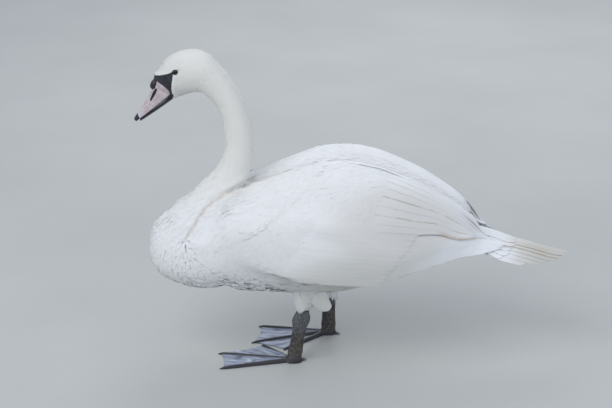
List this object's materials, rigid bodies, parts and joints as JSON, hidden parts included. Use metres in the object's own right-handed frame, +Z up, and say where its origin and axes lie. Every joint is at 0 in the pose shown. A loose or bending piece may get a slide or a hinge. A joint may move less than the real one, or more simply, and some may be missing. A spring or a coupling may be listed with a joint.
{
  "type": "mute swan",
  "caption": "Standing young mute swan, life size, with its neck in an S, its wings folded and its webbed feet flat on the floor.",
  "frame": {"origin": "on the floor, under the middle of the bird's box", "axes": "+X towards the tail, +Y towards the bird's right side, +Z up"},
  "size_m": [0.8885, 0.3292, 0.6515],
  "materials": {
    "white_plumage": "matt white feathers",
    "pink_grey_bill": "satin horny skin",
    "black_skin": "satin bare skin",
    "grey_leg_skin": "satin scaly skin",
    "dark_eye": "wet gloss"
  },
  "bodies": {
    "root": {"torso": "white_plumage", "head": "white_plumage", "neck_upper": "white_plumage", "neck_middle": "white_plumage", "neck_lower": "white_plumage", "wing_left": "white_plumage", "wing_right": "white_plumage", "tail": "white_plumage", "thigh_left": "white_plumage", "thigh_right": "white_plumage", "bill_upper": "pink_grey_bill", "bill_lower": "black_skin", "eye_left": "dark_eye", "eye_right": "dark_eye", "shank_left": "grey_leg_skin", "shank_right": "grey_leg_skin", "foot_left": "grey_leg_skin", "foot_right": "grey_leg_skin"}
  },
  "joints": []
}
